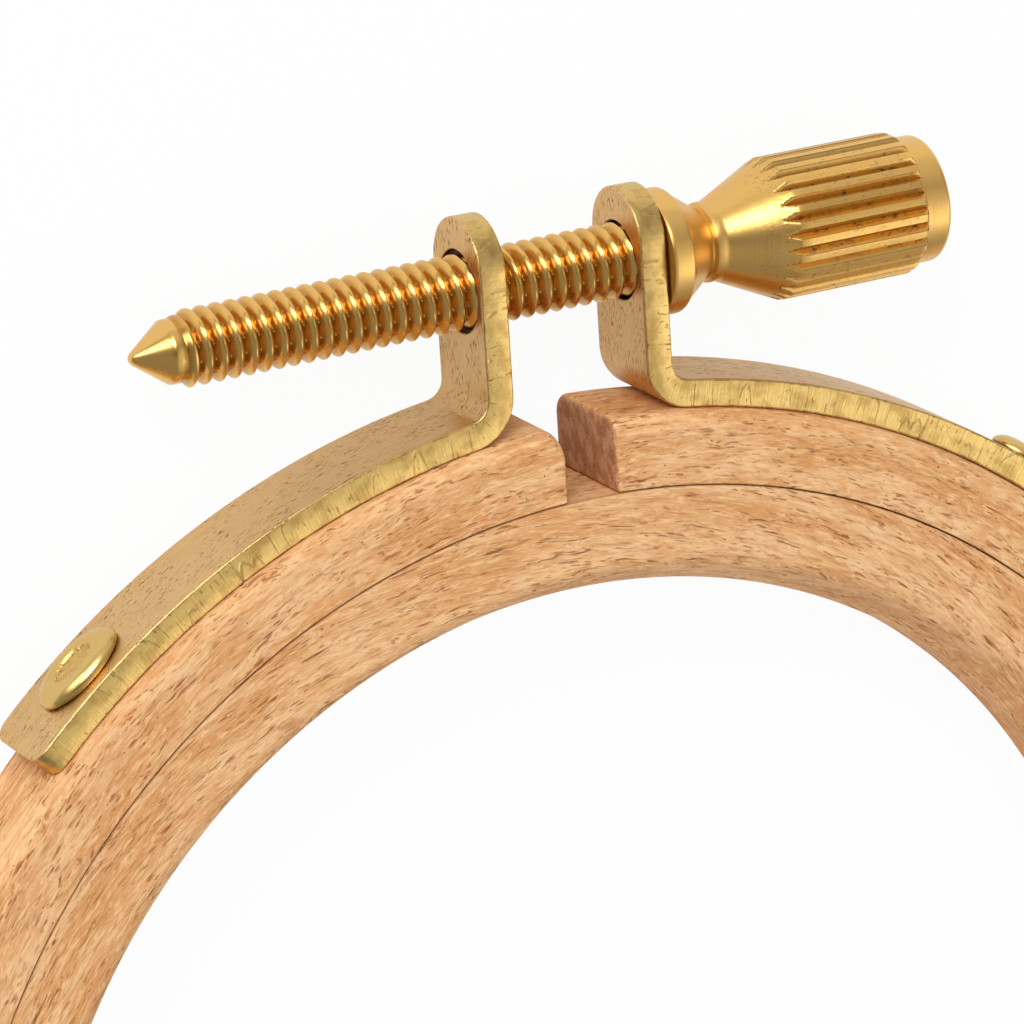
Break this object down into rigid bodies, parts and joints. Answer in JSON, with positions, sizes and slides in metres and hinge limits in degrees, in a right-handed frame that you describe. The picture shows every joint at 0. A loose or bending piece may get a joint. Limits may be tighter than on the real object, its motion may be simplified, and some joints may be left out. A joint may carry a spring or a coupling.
{
  "type": "embroidery hoop",
  "caption": "Round beech embroidery hoop lying flat: solid inner ring in a split outer ring, drawn closed by a knurled brass screw through riveted brackets.",
  "frame": {"origin": "on the hoop's axis, at the middle of its height", "axes": "+Z is the hoop's axis, out of the front face; +Y points at the split and the clamp screw; +X points at the knob"},
  "size_m": [0.103, 0.1165, 0.009],
  "materials": {
    "inner_wood": "fine-sanded beech, unvarnished",
    "outer_wood": "fine-sanded beech, unvarnished",
    "bracket_brass": "rolled strip, dull faces and bright sawn edges",
    "rivet_brass": "formed head, satin",
    "screw_brass": "turned and knurled, bright"
  },
  "bodies": {
    "outer_body": {"outer_ring": "outer_wood", "right_bracket": "bracket_brass", "right_rivet": "rivet_brass"},
    "left_end": {"left_bracket": "bracket_brass", "left_rivet": "rivet_brass"},
    "screw": {"clamp_screw": "screw_brass"},
    "inner_body": {"inner_ring": "inner_wood"}
  },
  "joints": [
    {"name": "knob_turn", "type": "hinge", "parent": "outer_body", "child": "screw", "pos_m": [0, 0.0603, 0], "axis": [1, 0, 0], "range_deg": [0, 2880]},
    {"name": "ring_flex", "type": "hinge", "parent": "outer_body", "child": "left_end", "pos_m": [-0.00955, -0.04819, 0], "axis": [0, 0, 1], "range_deg": [0, 4.23], "deforming": ["outer_ring"]},
    {"name": "inner_ring_lift", "type": "slide", "parent": "outer_body", "child": "inner_body", "axis": [0, 0, 1], "range_m": [0, 0.03]}
  ],
  "couplings": [
    {"joint": "ring_flex", "follows": "knob_turn", "ratio": 0.001466}
  ]
}
